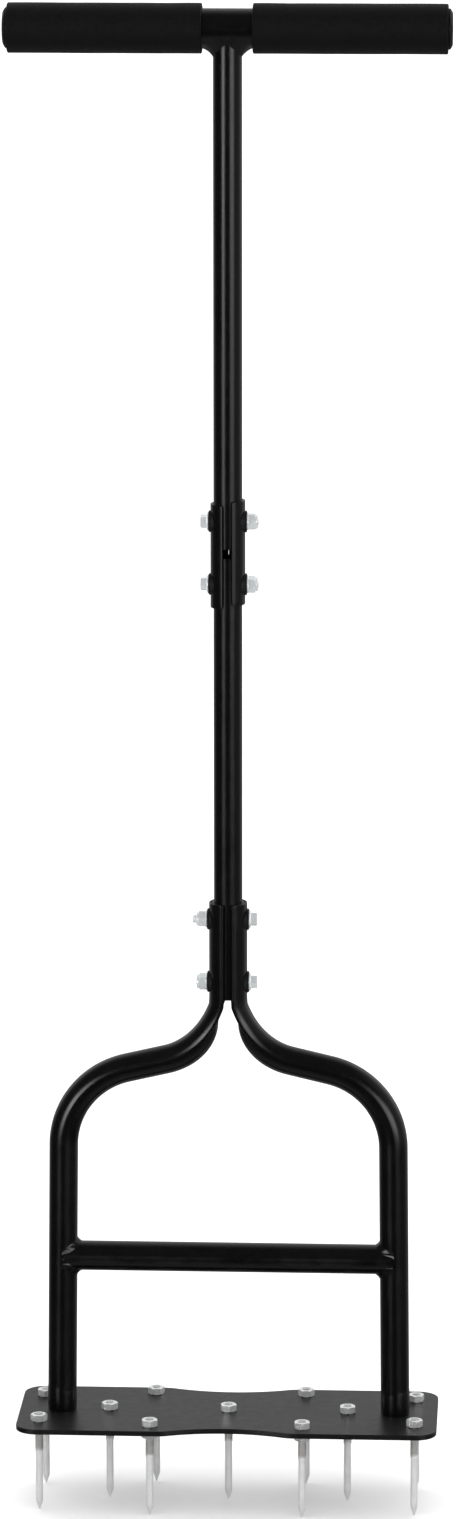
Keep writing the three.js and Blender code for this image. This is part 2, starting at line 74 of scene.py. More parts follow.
# Bolts and lock nuts
BOLT_R = 2.9 * MM
BOLT_HOLE_R = 3.3 * MM
BOLT_PITCH = 1 * MM
THREAD_DEPTH = 0.45 * MM
THREAD_STEEPNESS = 1.25
BOLT_THREAD_END = 17 * MM
BOLT_SHANK_START = 18 * MM
HEAD_GAP = 0.05 * MM
HEAD_FLATS = 8 * MM
HEAD_HEIGHT = 4.2 * MM
FLANGE_R = 6.2 * MM
FLANGE_HEIGHT = 1.1 * MM
LOCKNUT_FLATS = 10 * MM
LOCKNUT_FLANGE_R = 5.8 * MM
LOCKNUT_COLLAR = 1.5 * MM
LOCKNUT_COLLAR_R = 4.7 * MM
INSERT_WALL = 0.65 * MM
INSERT_DEPTH = 2.2 * MM
NUT_TURN = -2.4
MID_BOLT_TURNS = (0.2, 0.5)
LOW_BOLT_TURNS = (0.1, 0.4)
HEX_BLUNT = 0.985
HEX_TURNED = 0.96
CHAMFER_SLOPE = math.tan(math.radians(30))

# Legs: a crescent around the shaft, a bend outward, a sloping run, a bend down, a straight foot
LEG_R = 9.7 * MM
CRESCENT_R = 12.9 * MM
CRESCENT_HALF_ANGLE = math.radians(78)
CRESCENT_SLOT = 0.35 * MM
CRESCENT_SLOT_DEPTH = 14 * MM
CRESCENT_CORNER = 1.4 * MM
NECK_OFFSET = 7 * MM
NECK_BEND_R = 45 * MM
NECK_MORPH_START = 5 * MM
NECK_MORPH = 55 * MM
NECK_MORPH_POWER = 3
RUN_ANGLE = math.radians(76.8)
SHOULDER_BEND_R = 55.4 * MM
SHOULDER_Z = 248.8 * MM
FOOT_SLOPE = 0.0112

# Base plate
PLATE_CORNER_R = 14 * MM
WAIST_DEPTH = 8 * MM
WAIST_R = 115 * MM
WAIST_BLEND_R = 20 * MM
PLATE_EDGE = 0.45 * MM

# Spikes and their nuts
SPIKE_HOLE_R = 3.3 * MM
SPIKE_TIP_R = 0.5 * MM
SPIKE_TIP_LENGTH = 6.2 * MM
SPIKE_R = 2.4 * MM
SPIKE_THREAD_START = 41.6 * MM
SPIKE_THREAD_R = 2.9 * MM
SPIKE_NUT_FLATS = 10 * MM
SPIKE_NUT_HEIGHT = 4.7 * MM
SPIKE_TURN = 0.9
COLLAR_NUT_TURN, COLLAR_NUT_TURN_STEP = 0.4, 0.5

# Weld beads: a hollow face with crescent ripples, and the collar at each foot as pairs of
# swell and height in mm
WELD_ROOT = 0.4 * MM
STEPS_PER_RIPPLE = 8
RIPPLE_DEPTH = 0.30 * MM
RIPPLE_MEAN = 0.4
RIPPLE_BOW = 1.6
HOLLOW_REACH, HOLLOW_DROP = 0.30, 0.32
FOOT_COLLAR = ((0.0, 0.0), (0.10, 1.2), (0.20, 3.5), (0.25, 7.0), (0.20, 11.0), (0.08, 14.5),
               (-0.1, 16.8))
FOOT_COLLAR_WOBBLE = 0.04


# ---- the frame's sizes ----

def centre(node):
    low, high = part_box(node)
    return (low + high) / 2


def size(node):
    low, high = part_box(node)
    return high - low


HANDLE_Z = centre("handle_crossbar").z
HANDLE_R = size("handle_crossbar").z / 2
SHAFT_R = size("lower_shaft").x / 2
LEG_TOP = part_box("leg_right")[1].z
PLATE_LOW, PLATE_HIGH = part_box("base_plate")
PLATE_TOP = PLATE_HIGH.z
LEG_FOOT_X = centre("foot_weld_right").x


# ---- materials ----

def add_node(tree, kind, inputs=None, **settings):
    node = tree.nodes.new("ShaderNode" + kind)
    for name, value in settings.items():
        setattr(node, name, value)
    for socket, value in (inputs or {}).items():
        if isinstance(value, bpy.types.NodeSocket):
            tree.links.new(value, node.inputs[socket])
        else:
            node.inputs[socket].default_value = value
    return node


def new_material(name):
    material = bpy.data.materials.new(name)
    material.use_nodes = True
    tree = material.node_tree
    shader = tree.nodes["Principled BSDF"]
    place = add_node(tree, "TexCoord").outputs["Object"]
    return material, tree, shader, place


def noise_at(tree, place, scale, detail=2.0, roughness=0.5, stretch=None):
    """Noise with features of about 1/scale metres, 0 to 1, drawn out along an axis by stretch"""
    if stretch:
        place = add_node(tree, "Mapping", {"Vector": place, "Scale": stretch}).outputs[0]
    inputs = {"Vector": place, "Scale": scale, "Detail": detail, "Roughness": roughness}
    return add_node(tree, "TexNoise", inputs).outputs[0]


def ramp(tree, value, low, high, start=0.0, end=1.0):
    """Eases from start to end as the value goes from low to high"""
    inputs = {"Value": value, 1: low, 2: high, 3: start, 4: end}
    return add_node(tree, "MapRange", inputs, interpolation_type="SMOOTHSTEP").outputs[0]


def mix_colour(tree, factor, first, second):
    node = add_node(tree, "Mix", data_type="RGBA")
    for socket, value in ((0, factor), (6, first), (7, second)):
        if isinstance(value, bpy.types.NodeSocket):
            tree.links.new(value, node.inputs[socket])
        else:
            node.inputs[socket].default_value = value
    return node.outputs[2]


def combine(tree, operation, first, second):
    return add_node(tree, "Math", {0: first, 1: second}, operation=operation).outputs[0]


def bump(tree, height, distance, normal=None):
    inputs = {"Height": height, "Distance": distance, "Strength": 1.0}
    if normal:
        inputs["Normal"] = normal
    return add_node(tree, "Bump", inputs).outputs[0]


def edge_wear(tree, low, high):
    """1 on worn outward edges, 0 elsewhere"""
    sharpness = add_node(tree, "NewGeometry").outputs["Pointiness"]
    return ramp(tree, sharpness, low, high)


def grey(level):
    return (level, level, level, 1.0)


def powder_coat(name, roughness):
    """Black powder coat, with how rough it is where it is smoothest"""
    material, tree, shader, place = new_material(name)
    cloud = noise_at(tree, place, 38.0, detail=4.0, roughness=0.6)
    tint = mix_colour(tree, cloud, (0.0009, 0.0008, 0.0009, 1), (0.0018, 0.0016, 0.0018, 1))
    speck = ramp(tree, noise_at(tree, place, 2600.0, detail=1.0), 0.69, 0.76)
    tint = mix_colour(tree, combine(tree, "MULTIPLY", speck, 0.5), tint, grey(0.018))
    worn = edge_wear(tree, 0.60, 0.70)
    worn = combine(tree, "MULTIPLY", worn, ramp(tree, cloud, 0.40, 0.62))
    tint = mix_colour(tree, combine(tree, "MULTIPLY", worn, 0.35), tint, (0.035, 0.033, 0.034, 1))
    tree.links.new(tint, shader.inputs["Base Color"])
    rub = noise_at(tree, place, 160.0, detail=3.0)
    rubbed = ramp(tree, rub, 0.3, 0.7, roughness, roughness + 0.04)
    rough = combine(tree, "ADD", rubbed, ramp(tree, cloud, 0.3, 0.7, -0.01, 0.01))
    tree.links.new(rough, shader.inputs["Roughness"])
    peel = noise_at(tree, place, 900.0, detail=2.0, roughness=0.55)
    grain = noise_at(tree, place, 3600.0, detail=1.0)
    wave = bump(tree, peel, 0.00002)
    tree.links.new(bump(tree, grain, 0.000004, normal=wave), shader.inputs["Normal"])
    shader.inputs["Specular IOR Level"].default_value = 0.5
    return material


def grip_foam():
    material, tree, shader, place = new_material("grip_foam")
    inputs = {"Vector": place, "Scale": 1900.0, "Randomness": 1.0}
    cells = add_node(tree, "TexVoronoi", inputs).outputs["Distance"]
    pore_depth_and_shade = ramp(tree, cells, 0.05, 0.75)
    mottle = noise_at(tree, place, 90.0, detail=4.0, roughness=0.6)
    tint = mix_colour(tree, mottle, (0.0015, 0.0012, 0.0014, 1), (0.0030, 0.0024, 0.0028, 1))
    # painted shade: the foam's base colour is darker in its pores, where the bump sinks the surface in,
    # standing in for the shade inside the cells
    tint = mix_colour(tree, ramp(tree, pore_depth_and_shade, 0.0, 0.5, 0.6, 0.0), tint, (0.0010, 0.0008, 0.0009, 1))
    tree.links.new(tint, shader.inputs["Base Color"])
    tree.links.new(ramp(tree, mottle, 0.3, 0.7, 0.56, 0.66), shader.inputs["Roughness"])
    soft = bump(tree, noise_at(tree, place, 420.0, detail=3.0), 0.00012)
    tree.links.new(bump(tree, pore_depth_and_shade, 0.00010, normal=soft), shader.inputs["Normal"])
    shader.inputs["Specular IOR Level"].default_value = 0.2
    shader.inputs["Sheen Weight"].default_value = 0.02
    shader.inputs["Sheen Roughness"].default_value = 0.45
    shader.inputs["Sheen Tint"].default_value = (0.85, 0.74, 0.82, 1)
    return material


def black_plastic():
    material, tree, shader, place = new_material("black_plastic")
    cloud = noise_at(tree, place, 120.0, detail=3.0)
    tint = mix_colour(tree, cloud, (0.0008, 0.0008, 0.0008, 1), (0.0018, 0.0017, 0.0018, 1))
    worn = edge_wear(tree, 0.53, 0.62)
    tint = mix_colour(tree, combine(tree, "MULTIPLY", worn, 0.4), tint, grey(0.03))
    tree.links.new(tint, shader.inputs["Base Color"])
    tree.links.new(ramp(tree, cloud, 0.3, 0.7, 0.42, 0.54), shader.inputs["Roughness"])
    grain = noise_at(tree, place, 2400.0, detail=2.0)
    tree.links.new(bump(tree, grain, 0.00003), shader.inputs["Normal"])
    shader.inputs["Specular IOR Level"].default_value = 0.25
    return material


def bright_zinc(name, metal):
    """Bright zinc plate, with how metallic it is under its clear passivation"""
    material, tree, shader, place = new_material(name)
    cloud = noise_at(tree, place, 260.0, detail=3.0)
    tint = mix_colour(tree, cloud, (0.84, 0.90, 0.92, 1), (0.96, 0.98, 0.98, 1))
    worn = edge_wear(tree, 0.52, 0.60)
    tint = mix_colour(tree, combine(tree, "MULTIPLY", worn, 0.7), tint, grey(0.96))
    tree.links.new(tint, shader.inputs["Base Color"])
    shader.inputs["Metallic"].default_value = metal
    scratches = noise_at(tree, place, 900.0, detail=3.0, stretch=(1.0, 6.0, 1.0))
    clouded = ramp(tree, cloud, 0.3, 0.7, 0.14, 0.22)
    rough = combine(tree, "ADD", clouded, ramp(tree, scratches, 0.45, 0.7, 0.0, 0.08))
    tree.links.new(rough, shader.inputs["Roughness"])
    fine = bump(tree, scratches, 0.00001)
    tree.links.new(bump(tree, noise_at(tree, place, 1500.0), 0.00003, normal=fine), shader.inputs["Normal"])
    return material


def satin_zinc():
    material, tree, shader, place = new_material("spike_zinc")
    cloud = noise_at(tree, place, 180.0, detail=4.0, roughness=0.6)
    drawn = noise_at(tree, place, 2200.0, detail=2.0, stretch=(1.0, 1.0, 0.03))
    tint = mix_colour(tree, cloud, (0.78, 0.79, 0.79, 1), (0.92, 0.92, 0.91, 1))
    tint = mix_colour(tree, ramp(tree, drawn, 0.55, 0.75, 0.0, 0.35), tint, (0.62, 0.63, 0.64, 1))
    height = add_node(tree, "SeparateXYZ", {0: place}).outputs[2]
    # painted shade: the spike is painted darker from the thread's start upward, standing in for the shade
    # in the thread's grooves
    thread = ramp(tree, height, SPIKE_THREAD_START, SPIKE_THREAD_START + 3 * MM, 0.0, 0.75)
    tint = mix_colour(tree, thread, tint, (0.40, 0.385, 0.37, 1))
    tree.links.new(tint, shader.inputs["Base Color"])
    shader.inputs["Metallic"].default_value = 0.50
    clouded = ramp(tree, cloud, 0.3, 0.7, 0.34, 0.46)
    rough = combine(tree, "ADD", clouded, ramp(tree, drawn, 0.4, 0.8, -0.03, 0.06))
    tree.links.new(rough, shader.inputs["Roughness"])
    lines = bump(tree, drawn, 0.000025)
    tree.links.new(bump(tree, noise_at(tree, place, 700.0), 0.00004, normal=lines), shader.inputs["Normal"])
    return material


def nylon():
    material, tree, shader, place = new_material("insert_nylon")
    cloud = noise_at(tree, place, 700.0, detail=2.0)
    tint = mix_colour(tree, cloud, (0.50, 0.52, 0.54, 1), (0.66, 0.67, 0.68, 1))
    tree.links.new(tint, shader.inputs["Base Color"])
    tree.links.new(ramp(tree, cloud, 0.3, 0.7, 0.4, 0.5), shader.inputs["Roughness"])
    tree.links.new(bump(tree, cloud, 0.00004), shader.inputs["Normal"])
    return material


POWDER = powder_coat("tube_powder_coat", 0.21)
PLATE_POWDER = powder_coat("plate_powder_coat", 0.36)
FOAM, PLASTIC = grip_foam(), black_plastic()
BOLT_ZINC = bright_zinc("joint_zinc", 0.60)
NUT_ZINC = bright_zinc("nut_zinc", 0.72)
SPIKE_ZINC, NYLON = satin_zinc(), nylon()


# ---- mesh building ----

def blend(a, b, t):
    return a + (b - a) * t


def ease(t):
    t = min(max(t, 0.0), 1.0)
    return t * t * (3 - 2 * t)


def spread(low, high, steps):
    """steps + 1 values from low to high"""
    return [blend(low, high, i / steps) for i in range(steps + 1)]


def filleted(corners, steps=4, closed=True):
    """The outline through corners of (x, y, fillet radius), each corner rounded"""
    outline = []
    for i, (x, y, radius) in enumerate(corners):
        here = Vector((x, y))
        end = not closed and i in (0, len(corners) - 1)
        if radius == 0 or end:
            outline.append((x, y))
            continue
        back = (Vector(corners[i - 1][:2]) - here).normalized()
        ahead = (Vector(corners[(i + 1) % len(corners)][:2]) - here).normalized()
        half = back.angle(ahead) / 2
        middle = here + (back + ahead).normalized() * radius / math.sin(half)
        first = here + back * radius / math.tan(half) - middle
        last = here + ahead * radius / math.tan(half) - middle
        turn = math.atan2(first.x * last.y - first.y * last.x, first.dot(last))
        for angle in spread(0, turn, steps):
            c, s = math.cos(angle), math.sin(angle)
            outline.append((middle.x + first.x * c - first.y * s, middle.y + first.x * s + first.y * c))
    return outline


def turned_rings(profile, sides):
    """A ring around Z for each entry: (r, z), or a function of the angle that gives (r, z)"""
    rings = []
    for entry in profile:
        ring = []
        for i in range(sides):
            angle = 2 * math.pi * i / sides
            r, z = entry(angle) if callable(entry) else entry
            ring.append(Vector((r * math.cos(angle), r * math.sin(angle), z)))
        rings.append(ring)
    return rings


def skin(rings, loop=False):
    """Vertices and faces through rings of equal length: a loop joins the last to the first"""
    sides = len(rings[0])
    points = [p for ring in rings for p in ring]
    faces = []
    for i in range(len(rings) if loop else len(rings) - 1):
        a, b = i * sides, ((i + 1) % len(rings)) * sides
        for j in range(sides):
            k = (j + 1) % sides
            faces.append((a + j, a + k, b + k, b + j))
    if not loop:
        faces.append(tuple(reversed(range(sides))))
        faces.append(tuple(range((len(rings) - 1) * sides, len(rings) * sides)))
    return points, faces


def signed_volume(points, faces):
    total = 0.0
    for face in faces:
        first = points[face[0]]
        for a, b in zip(face[1:], face[2:]):
            total += first.dot(points[a].cross(points[b]))
    return total


def shade(made, angle):
    """Smooth shading between sharp edges, where wide faces lead over narrow ones"""
    made.data.shade_smooth()
    made.data.set_sharp_from_angle(angle=math.radians(angle))
    normals = made.modifiers.new("normals", "WEIGHTED_NORMAL")
    normals.keep_sharp = True


def piece(name, body, material, nodes, place=None, sharp=35):
    """A closed mesh that stands for CAD nodes, with its faces pointing out"""
    points, faces = body
    if place is not None:
        points = [place @ p for p in points]
    if signed_volume(points, faces) < 0:
        faces = [tuple(reversed(face)) for face in faces]
    mesh = bpy.data.meshes.new(name)
    mesh.from_pydata(points, [], faces)
    mesh.materials.append(material)
    made = bpy.data.objects.new(name, mesh)
    bpy.context.scene.collection.objects.link(made)
    shade(made, sharp)
    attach(made, "root")
    if nodes:
        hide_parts(*nodes)
    return made


def black(name, body, node, place=None, sharp=35):
    return piece(name, body, POWDER, [node], place, sharp)


def drill(made, places, radius, sharp=35):
    """Cuts round holes through a piece, one along the Z axis of each place"""
    tool_points, tool_faces = [], []
    reach = 40 * MM  # past both sides of the widest piece
    for place in places:
        points, faces = skin(turned_rings([(radius, -reach), (radius, reach)], SPIKE_SIDES))
        if signed_volume(points, faces) < 0:
            faces = [tuple(reversed(face)) for face in faces]
        start = len(tool_points)
        tool_points += [place @ p for p in points]
        tool_faces += [tuple(start + i for i in face) for face in faces]
    mesh = bpy.data.meshes.new("drill")
    mesh.from_pydata(tool_points, [], tool_faces)
    tool = bpy.data.objects.new("drill", mesh)
    bpy.context.scene.collection.objects.link(tool)
    made.modifiers.clear()
    cut = made.modifiers.new("holes", "BOOLEAN")
    cut.object, cut.operation, cut.solver = tool, "DIFFERENCE", "EXACT"
    drilled = made.evaluated_get(bpy.context.evaluated_depsgraph_get())
    result = bpy.data.meshes.new_from_object(drilled)
    made.modifiers.clear()
    made.data, undrilled = result, made.data
    result.name = made.name
    bpy.data.meshes.remove(undrilled)
    bpy.data.objects.remove(tool)
    bpy.data.meshes.remove(mesh)
    shade(made, sharp)


def tube_profile(outer, inner, low, high, rim=RIM_ROUND):
    return filleted([(inner, low, rim), (outer, low, rim), (outer, high, rim), (inner, high, rim)])


def hex_radius(angle, flats):
    """From the axis to a hexagon's side, its corners a little blunt"""
    off_middle = angle % (math.pi / 3) - math.pi / 6
    blunt = HEX_BLUNT / math.cos(math.pi / 6)
    return flats / 2 * min(1 / math.cos(off_middle), blunt)


def hex_edge(flats, height, up=1, inset=0.0):
    """The hexagon's corner line, cut back by the chamfer of a turned end at that height"""
    turned_r = flats / 2 * HEX_TURNED

    def point(angle):
        r = hex_radius(angle, flats)
        drop = (r - turned_r) * CHAMFER_SLOPE
        return r - inset, height - up * (drop + inset)
    return point


def threaded(radius, low, high, pitch, depth, steps=8):
    """Rings of a screw thread that fades out at its lower end"""
    count = max(int((high - low) / pitch * steps), 1)
    rings = []
    for z in spread(low, high, count):
        fade = ease((z - low) / pitch)

        def point(angle, z=z, fade=fade):
            phase = (z / pitch - angle / (2 * math.pi)) % 1.0
            groove = min(abs(2 * phase - 1) * THREAD_STEEPNESS, 1.0)
            return radius - depth * groove * fade, z
        rings.append(point)
    return rings


# ---- handle ----

def foam_tube(inner, outer, low, high):
    """A foam sleeve: its outside swells and dips a little along its length"""
    outside = [(x, outer) for x in spread(low + GRIP_ROUND * 2, high - GRIP_ROUND * 2, 60)]
    corners = filleted([(outer, low, GRIP_ROUND), (inner, low, 0.3 * MM), (inner, high, 0.3 * MM),
                        (outer, high, GRIP_ROUND)])
    profile = corners[5:] + [(r, x) for x, r in reversed(outside)] + corners[:5]

    def soft(entry):
        r, x = entry

        def point(angle):
            wave = noise.noise(Vector((x * 45, math.cos(angle) * 1.4, math.sin(angle) * 1.4)))
            depth = ease((r - inner) / (outer - inner))
            return r + (wave - 0.4) * FOAM_SWELL * depth, x
        return point
    return skin(turned_rings([soft(entry) for entry in profile], GRIP_SIDES), loop=True)


def end_cap(plug_r, radius, seat, crown):
    """A pressed-in cap: a plug, a rim that covers the tube's end, and a low dome with a dimple"""
    body = filleted([
        (AXIS_R, seat - CAP_PLUG, 0), (plug_r, seat - CAP_PLUG, 0.5 * MM), (plug_r, seat, 0.1 * MM),
        (radius, seat, 0.3 * MM), (radius, seat + (crown - seat) * 0.45, 0.8 * MM),
        (radius * 0.8, crown, 2.0 * MM), (radius * 0.3, crown, 0.6 * MM),
        (radius * 0.24, crown - CAP_DIMPLE, 0.4 * MM), (AXIS_R, crown - CAP_DIMPLE, 0),
    ], closed=False)
    return skin(turned_rings(body, TUBE_SIDES))


def make_handle():
    low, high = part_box("handle_crossbar")
    tube = tube_profile(HANDLE_R, HANDLE_R - HANDLE_WALL, low.x, high.x)
    at_handle = Matrix.Translation((0, 0, HANDLE_Z)) @ ALONG_X
    black("crossbar", skin(turned_rings(tube, TUBE_SIDES), loop=True), "handle_crossbar", at_handle)
    grip_low, grip_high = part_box("grip_right")
    cap_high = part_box("end_cap_right")[1]
    sleeve = foam_tube(HANDLE_R, size("grip_right").z / 2, grip_low.x, grip_high.x)
    cap = end_cap(HANDLE_R - HANDLE_WALL, size("end_cap_right").z / 2, high.x, cap_high.x)
    for side, sign in SIDES_LR:
        place = at_handle if sign > 0 else HALF_TURN @ at_handle
        piece(f"foam_grip_{side}", sleeve, FOAM, [f"grip_{side}"], place)
        piece(f"cap_{side}", cap, PLASTIC, [f"end_cap_{side}"], place)


# ---- welds ----

def weld_rings(tube_r, hull_r, reaches, drops, ripples, lumpiness, seed):
    """A bead around a tube along Z where it meets a crosswise cylinder along X at height 0.
    The bead hangs below the cylinder, and its face is rippled as the welder moved along. Its
    reach and drop are pairs: where tube and cylinder meet squarely, and where they run on."""
    steps = ripples * STEPS_PER_RIPPLE
    face = spread(0, 1, 10)
    outward = Vector((1, -1)).normalized()
    rings = []
    for i in range(steps):
        angle = 2 * math.pi * i / steps
        c, s = math.cos(angle), math.sin(angle)
        reach = blend(reaches[1], reaches[0], abs(c))
        drop = blend(drops[1], drops[0], abs(c))

        def hull(r):
            return -math.sqrt(max(hull_r ** 2 - (r * s) ** 2, 0.0))
        lump = noise.noise(Vector((c * 2 + seed, s * 2, seed))) * lumpiness
        foot = Vector((tube_r, hull(tube_r) - drop * (1 + lump)))
        outer = tube_r + reach * (1 + lump)
        rim = Vector((outer, hull(outer)))
        bend = Vector((tube_r + reach * HOLLOW_REACH, hull(tube_r) - drop * HOLLOW_DROP))
        ring = []
        for t in face:
            p = foot * (1 - t) ** 2 + bend * 2 * t * (1 - t) + rim * t ** 2
            belly = math.sin(math.pi * t)
            crescent = abs(math.sin((angle * ripples - RIPPLE_BOW * belly) / 2))
            p = p + outward * belly * (crescent - RIPPLE_MEAN) * RIPPLE_DEPTH
            ring.append((p.x, p.y))
        ring.append((outer, hull(outer) + WELD_ROOT))
        ring.append((tube_r - WELD_ROOT, hull(tube_r) + WELD_ROOT))
        ring.append((tube_r - WELD_ROOT, foot.y))
        rings.append([Vector((r * c, r * s, z)) for r, z in ring])
    return rings


def make_handle_weld():
    reaches, drops = (6.6 * MM, 0.9 * MM), (5.4 * MM, 0.9 * MM)
    rings = weld_rings(SHAFT_R, HANDLE_R, reaches, drops, ripples=18, lumpiness=0.10, seed=1.0)
    place = Matrix.Translation((0, 0, HANDLE_Z))
    black("weld_handle", skin(rings, loop=True), "handle_weld", place)


# ---- shafts ----

def across(z, sign=1):
    """A place at that height whose Z axis lies along X: to the right, or to the left for -1"""
    place = Matrix.Translation((0, 0, z)) @ ALONG_X
    return place if sign > 0 else place @ Matrix.Rotation(math.pi, 4, "X")


def make_shafts():
    inner = SHAFT_R - TUBE_WALL
    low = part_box("upper_shaft")[0].z

    def cope(r, down):
        def point(angle):
            y = r * math.sin(angle)
            return r, HANDLE_Z - math.sqrt(HANDLE_R ** 2 - y * y) - down
        return point
    lower_rim = filleted([
        (inner, HANDLE_Z, 0), (inner, low, RIM_ROUND), (SHAFT_R, low, RIM_ROUND), (SHAFT_R, HANDLE_Z, 0),
    ], closed=False)[1:-1]
    upper = lower_rim + [cope(SHAFT_R, 0), cope(inner, 0)]
    body = skin(turned_rings(upper, TUBE_SIDES), loop=True)
    made = black("shaft_upper", body, "upper_shaft")
    drill(made, [across(centre("mid_joint_upper_bolt").z)], BOLT_HOLE_R)

    low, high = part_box("lower_shaft")
    body = skin(turned_rings(tube_profile(SHAFT_R, inner, low.z, high.z), TUBE_SIDES), loop=True)
    made = black("shaft_lower", body, "lower_shaft")
    bolts = ("mid_joint_lower_bolt", "low_joint_upper_bolt", "low_joint_lower_bolt")
    drill(made, [across(centre(bolt).z) for bolt in bolts], BOLT_HOLE_R)


# ---- splice plates ----

def curved_plate(inner, outer, low, high, first, last, corner, edge):
    """A plate bent around Z from the first angle to the last, with round corners and softened
    edges"""
    middle = (inner + outer) / 2
    half = middle * (last - first) / 2
    facing = Matrix.Rotation((first + last) / 2, 3, "Z")
    straight = [(z, half) for z in spread(low + corner, high - corner, 24)]
    lower = [(low + corner * (1 - math.cos(a)), half - corner * (1 - math.sin(a)))
             for a in spread(0, math.pi / 2, 6)]
    upper = [(low + high - z, width) for z, width in reversed(lower)]
    outline_rows = lower[:-1] + straight + upper[1:]
    columns = 28
    thick = (outer - inner) / 2
    rim = spread(-math.pi / 2, math.pi / 2, 6)[1:-1]
    rings = []
    for z, width in outline_rows:
        near_end = min(z - low, high - z, edge)
        pinch = edge * (1 - math.sin(math.acos(1 - near_end / edge)))
        ring = []
        for s in spread(-width + edge, width - edge, columns):
            ring.append((outer - pinch, s))
        for a in rim:
            ring.append((middle + (thick - pinch) * -math.sin(a), width - edge + edge * math.cos(a)))
        for s in spread(width - edge, -width + edge, columns):
            ring.append((inner + pinch, s))
        for a in rim:
            ring.append((middle + (thick - pinch) * math.sin(a), -width + edge - edge * math.cos(a)))
        bent = [Vector((r * math.cos(s / middle), r * math.sin(s / middle), z)) for r, s in ring]
        rings.append([facing @ point for point in bent])
    return skin(rings)


def make_splices():
    for side, sign in SIDES_LR:
        low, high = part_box(f"splice_plate_{side}")
        outer = max(abs(low.x), abs(high.x))
        # the left plate is drawn on the right and then turned half round, front to rear
        first = -SPLICE_FRONT_ANGLE if sign > 0 else -SPLICE_REAR_ANGLE
        last = SPLICE_REAR_ANGLE if sign > 0 else SPLICE_FRONT_ANGLE
        inner = outer - SPLICE_WALL
        body = curved_plate(inner, outer, low.z, high.z, first, last, SPLICE_CORNER, SPLICE_EDGE)
        place = None if sign > 0 else HALF_TURN
        made = black(f"splice_{side}", body, f"splice_plate_{side}", place)
        bolts = [across(centre(f"mid_joint_{row}_bolt").z) for row in ("upper", "lower")]
        drill(made, bolts, BOLT_HOLE_R)


# ---- bolted joints ----

def saddle_washer(tube_r, face, radius):
    """Flat outside, hollowed to sit on the tube; its axis is Z, and its flat face is on top"""
    def seat(r):
        def point(angle):
            y = r * math.sin(angle)
            return r, math.sqrt(tube_r ** 2 - y * y)
        return point
    soft = 0.5 * MM
    steps = spread(BOLT_HOLE_R, radius - soft / 2, 6)
    below = [seat(r) for r in steps] + [seat(radius)]
    above = [(radius, face - soft), (radius - soft * 0.3, face - soft * 0.3), (radius - soft, face)]
    above += [(BOLT_HOLE_R + 0.3 * MM, face), (BOLT_HOLE_R, face - 0.3 * MM)]
    return skin(turned_rings(below + above, BOLT_SIDES), loop=True)


def flange_bolt(seat, reach):
    """A flange bolt with its head up from the height seat, and its end at -reach"""
    shank = [(AXIS_R, -reach), (BOLT_R - 0.7 * MM, -reach)]
    shank += threaded(BOLT_R, -reach + 0.5 * MM, -reach + BOLT_THREAD_END, BOLT_PITCH, THREAD_DEPTH)
    top = seat + FLANGE_HEIGHT
    flats_r = HEAD_FLATS / 2
    flange = filleted([
        (BOLT_R, -reach + BOLT_SHANK_START, 0), (BOLT_R, seat, 0.2 * MM), (FLANGE_R, seat, 0.25 * MM),
        (FLANGE_R, seat + 0.55 * MM, 0.3 * MM), (flats_r * 1.16, top + 0.35 * MM, 0),
    ], steps=3, closed=False)
    crown = seat + FLANGE_HEIGHT + HEAD_HEIGHT

    def foot(angle):
        r = hex_radius(angle, HEAD_FLATS)
        return r, top + (flats_r * 1.3 - r) * 0.4
    head = [
        foot, hex_edge(HEAD_FLATS, crown), (flats_r * 0.94, crown), (flats_r * 0.72, crown - 0.05 * MM),
        (flats_r * 0.62, crown - 0.35 * MM), (AXIS_R, crown - 0.42 * MM),
    ]
    return skin(turned_rings(shank + flange[:-1] + head, BOLT_SIDES))


def lock_nut(seat, top):
    """A flange lock nut up from the height seat, with a rounded collar over its insert"""
    bore = BOLT_R + 0.1 * MM
    hex_top = top - LOCKNUT_COLLAR
    flats_r = LOCKNUT_FLATS / 2
    flange = filleted([
        (bore, seat, 0.3 * MM), (LOCKNUT_FLANGE_R, seat, 0.25 * MM),
        (LOCKNUT_FLANGE_R, seat + 0.6 * MM, 0.25 * MM), (flats_r * 0.98, seat + FLANGE_HEIGHT, 0),
    ], steps=3)
    collar = filleted([
        (flats_r * 0.94, hex_top, 0), (LOCKNUT_COLLAR_R, hex_top + 0.1 * MM, 0.2 * MM),
        (LOCKNUT_COLLAR_R, top, 0.9 * MM), (bore + 0.6 * MM, top, 0.3 * MM),
        (bore + 0.6 * MM, top - INSERT_DEPTH, 0.1 * MM), (bore, top - 2.4 * MM, 0),
    ], closed=False)
    low_edge = hex_edge(LOCKNUT_FLATS, seat + FLANGE_HEIGHT * 0.9, up=-1)
    profile = flange[:-1] + [low_edge, hex_edge(LOCKNUT_FLATS, hex_top)] + collar
    return skin(turned_rings(profile, BOLT_SIDES), loop=True)


def nylon_ring(top):
    """The lock nut's insert, which the bolt's thread bites into"""
    bore = BOLT_R - 0.05 * MM
    outer = bore + INSERT_WALL
    ring = filleted([
        (bore, top - INSERT_DEPTH, 0.1 * MM), (outer, top - INSERT_DEPTH, 0.1 * MM),
        (outer, top - 0.25 * MM, 0.1 * MM), (bore, top - 0.25 * MM, 0.2 * MM),
    ])
    return skin(turned_rings(ring, BOLT_SIDES), loop=True)


